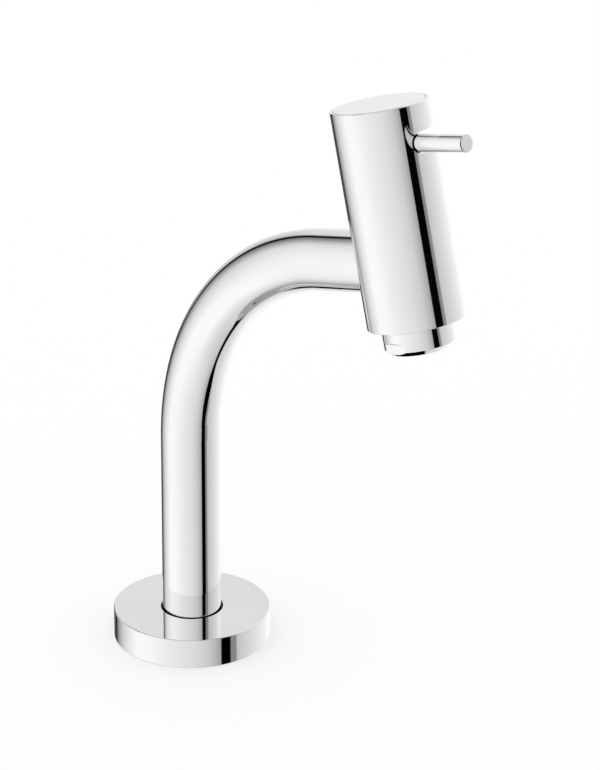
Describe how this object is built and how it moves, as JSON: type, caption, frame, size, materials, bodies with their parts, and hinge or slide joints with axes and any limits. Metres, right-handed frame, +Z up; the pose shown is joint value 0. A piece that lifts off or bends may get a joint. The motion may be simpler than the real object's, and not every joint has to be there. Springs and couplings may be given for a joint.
{
  "type": "basin pillar tap",
  "caption": "Chrome pillar tap for a basin: bent round spout tube on a round foot, tilted cylindrical head with a short lever pin in a side slot, and an aerator below.",
  "frame": {"origin": "on the column's axis, at the level of the deck that the foot stands on", "axes": "+Z up along the column; +X from the column towards the head, away from the wall; +Y to the side that the lever pin swings to as the tap opens"},
  "size_m": [0.1683, 0.0588, 0.2969],
  "materials": {
    "chrome_plate": "polished",
    "raw_brass": "machined",
    "stainless_steel": "satin",
    "black_rubber": "matte",
    "white_plastic": "moulded",
    "white_ceramic": "lapped"
  },
  "bodies": {
    "tap": {"escutcheon": "chrome_plate", "spout_tube": "chrome_plate", "head_shell": "chrome_plate", "cap_disc": "chrome_plate", "aerator_housing": "chrome_plate", "mounting_shank": "raw_brass", "back_nut": "raw_brass", "valve_body": "raw_brass", "arm_nipple": "raw_brass", "cartridge_housing": "raw_brass", "clamp_washer": "stainless_steel", "aerator_screen": "stainless_steel", "deck_gasket": "black_rubber", "clamp_seal": "black_rubber", "escutcheon_o_ring": "black_rubber", "arm_o_ring": "black_rubber", "cap_o_ring": "black_rubber", "cartridge_o_ring": "black_rubber", "seat_seal": "black_rubber", "aerator_seal": "black_rubber", "aerator_insert": "white_plastic", "thrust_washer": "white_plastic", "fixed_disc": "white_ceramic"},
    "lever": {"lever_pin": "chrome_plate", "lever_carrier": "chrome_plate", "carrier_screw": "stainless_steel", "grub_screw": "stainless_steel", "spindle": "raw_brass", "spindle_o_rings": "black_rubber", "moving_disc": "white_ceramic", "circlip": "stainless_steel"}
  },
  "joints": [
    {"name": "lever_turn", "type": "hinge", "parent": "tap", "child": "lever", "pos_m": [0.11093, 0, 0.18359], "axis": [-0.2538, 0, 0.9673], "range_deg": [0, 90]}
  ]
}
